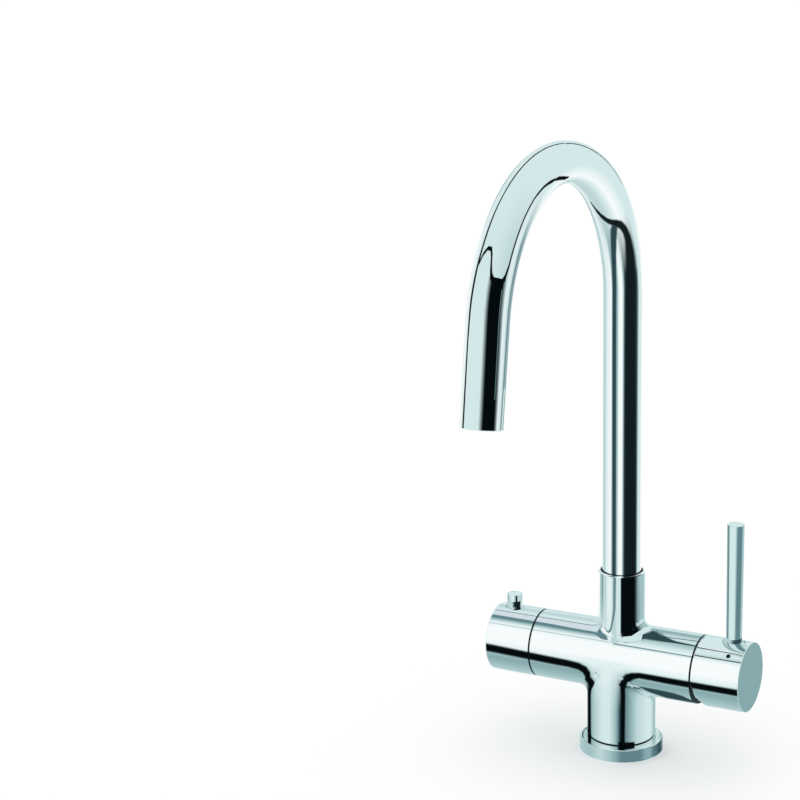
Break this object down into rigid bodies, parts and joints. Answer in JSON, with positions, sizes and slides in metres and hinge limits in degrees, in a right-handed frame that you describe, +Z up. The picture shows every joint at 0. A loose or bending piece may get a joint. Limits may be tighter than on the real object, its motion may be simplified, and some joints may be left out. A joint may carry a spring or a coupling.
{
  "type": "boiling water tap",
  "caption": "Deck-mounted tap with a high swivel spout, a side-lever mixer for hot and cold water and a turning knob with a safety button for boiling water.",
  "frame": {"origin": "centre of the base's underside, on the deck", "axes": "+Z up along the riser, -Y towards the user along the spout, +X towards the mixer handle"},
  "size_m": [0.1792, 0.2354, 0.4155],
  "materials": {
    "chrome": "polished",
    "brass": "machined",
    "steel": "machined",
    "ceramic": "lapped",
    "rubber": "moulded",
    "black_plastic": "moulded",
    "cartridge_plastic": "moulded",
    "outlet_plastic": "moulded",
    "dark_mark": "gloss"
  },
  "bodies": {
    "root": {"tap_body": "chrome", "base_flange": "chrome", "mixer_dome": "chrome", "mixer_cartridge_nut": "brass", "boil_valve_body": "brass", "boil_nipple": "brass", "turn_stop_ring": "steel", "spout_clip": "steel", "mixer_fixed_disc": "ceramic", "boil_fixed_disc": "ceramic", "base_gasket": "rubber", "foot_seal": "rubber", "nipple_seal": "rubber", "mixer_port_seals": "rubber", "boil_valve_seal": "rubber", "boil_seat_seal": "rubber", "mixer_seam_ring": "black_plastic", "boil_seam_ring": "black_plastic", "glide_ring": "black_plastic", "mixer_port_plate": "cartridge_plastic", "mixer_cartridge_shell": "cartridge_plastic"},
    "spout": {"spout_tube": "chrome", "spout_bush": "brass", "spout_seals": "rubber", "boiling_tube": "steel", "outlet_sleeve": "chrome", "flow_insert": "outlet_plastic", "outlet_washer": "rubber", "boiling_nozzle": "outlet_plastic"},
    "mixer_turret": {"mixer_turret": "cartridge_plastic", "mixer_pivot_pin": "steel"},
    "mixer_disc": {"mixer_moving_disc": "ceramic", "mixer_disc_carrier": "cartridge_plastic"},
    "mixer_handle": {"mixer_stem": "steel", "mixer_handle": "chrome", "mixer_lever": "chrome", "mixer_set_screw": "steel", "handle_dot": "dark_mark"},
    "boil_knob": {"boil_spindle": "brass", "boil_moving_disc": "ceramic", "spindle_circlip": "steel", "boil_knob": "chrome", "knob_adapter": "cartridge_plastic", "knob_grub_screw": "steel", "button_spring": "steel"},
    "button": {"safety_button": "chrome", "stop_pin": "steel"}
  },
  "joints": [
    {"name": "spout_swivel", "type": "hinge", "parent": "root", "child": "spout", "pos_m": [0, 0, 0.104], "axis": [0, 0, 1], "continuous": true},
    {"name": "mixer_temperature", "type": "hinge", "parent": "root", "child": "mixer_turret", "pos_m": [0.058, 0, 0.06475], "axis": [1, 0, 0], "range_deg": [-45, 45]},
    {"name": "mixer_flow", "type": "hinge", "parent": "mixer_turret", "child": "mixer_handle", "pos_m": [0.058, 0, 0.06475], "axis": [0, 1, 0], "range_deg": [0, 18]},
    {"name": "mixer_disc_slide", "type": "slide", "parent": "mixer_turret", "child": "mixer_disc", "axis": [0, 0, 1], "range_m": [0, 0.0043]},
    {"name": "boil_turn", "type": "hinge", "parent": "root", "child": "boil_knob", "pos_m": [-0.078, 0, 0.06475], "axis": [1, 0, 0], "range_deg": [0, 90]},
    {"name": "button_press", "type": "slide", "parent": "boil_knob", "child": "button", "axis": [0, 0, -1], "range_m": [0, 0.003], "stiffness_N_per_m": 400, "springref_m": -0.005, "deforming": ["button_spring"]}
  ],
  "couplings": [
    {"joint": "mixer_disc_slide", "follows": "mixer_flow", "m_per_rad": 0.0135}
  ]
}
